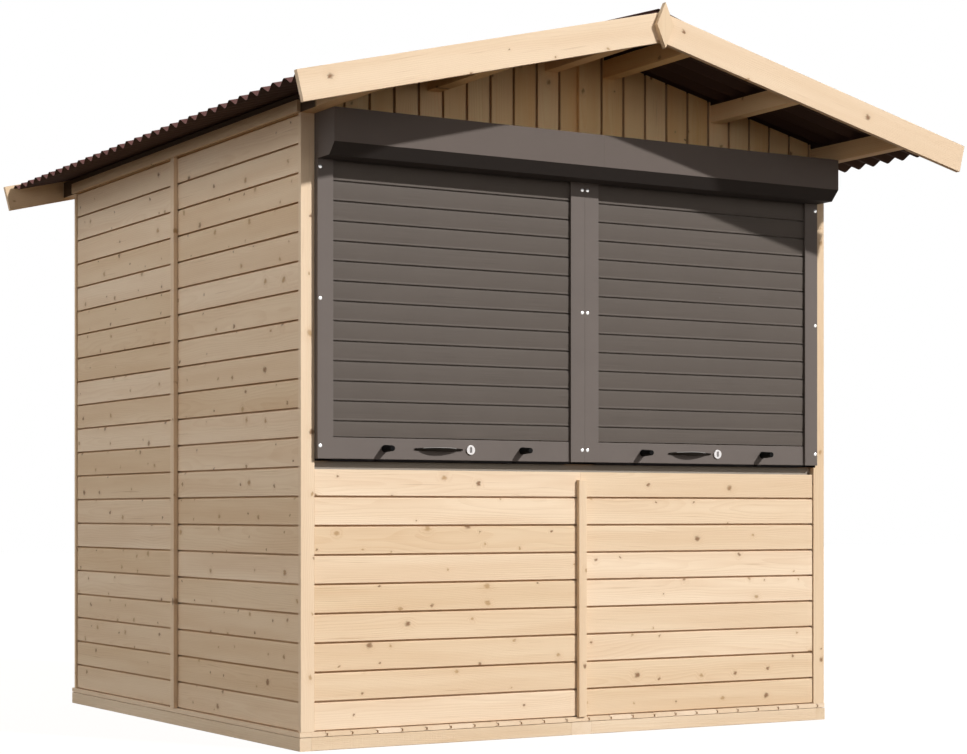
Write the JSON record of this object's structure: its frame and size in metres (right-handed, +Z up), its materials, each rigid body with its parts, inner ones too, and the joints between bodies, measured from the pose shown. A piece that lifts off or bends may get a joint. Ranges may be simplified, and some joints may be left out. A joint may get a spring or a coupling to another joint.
{
  "type": "sales_kiosk_shed",
  "caption": "Small square timber sales kiosk with two closed roller shutters over a low boarded front, boarded walls and a shallow gable roof of corrugated sheet.",
  "frame": {"origin": "centre of the bounding box on the ground", "axes": "+Z up, -Y out of the shuttered front, +X to the right seen from the front"},
  "size_m": [2.4652, 2.562, 2.2668],
  "materials": {
    "base": "matte",
    "boards": "satin",
    "floor": "matte",
    "frame": "matte",
    "handle": "satin",
    "lock": "satin",
    "roof": "satin",
    "rubber": "matte",
    "shutter": "satin",
    "sill": "satin",
    "trim": "satin"
  },
  "bodies": {
    "root": {"back_cover_strip": "trim", "bar_handles": "handle", "bar_locks": "lock", "bar_stops": "rubber", "eave_cover_strips": "trim", "eave_purlins": "frame", "floor_deck": "floor", "front_corner_trims": "trim", "front_cover_strips": "trim", "front_jamb_boards": "frame", "front_rails": "frame", "gable_finials": "trim", "left_back_panel": "boards", "left_barge_boards": "trim", "left_base_frame": "base", "left_bottom_bar": "shutter", "left_front_gable": "boards", "left_front_low_panel": "boards", "left_roof_sheet": "roof", "left_shutter_box": "shutter", "left_shutter_curtain": "shutter", "left_shutter_guides": "shutter", "left_wall_front_panel": "boards", "left_wall_rear_panel": "boards", "middle_posts": "frame", "middle_purlins": "frame", "rear_corner_trims": "trim", "ridge_cap": "roof", "ridge_purlins": "frame", "right_back_panel": "boards", "right_barge_boards": "trim", "right_base_frame": "base", "right_bottom_bar": "shutter", "right_front_gable": "boards", "right_front_low_panel": "boards", "right_roof_sheet": "roof", "right_shutter_box": "shutter", "right_shutter_curtain": "shutter", "right_shutter_guides": "shutter", "right_wall_front_panel": "boards", "right_wall_rear_panel": "boards", "shutter_sill": "sill", "side_cover_strips": "trim", "side_wall_posts": "frame", "sill_seal": "rubber"}
  },
  "joints": []
}
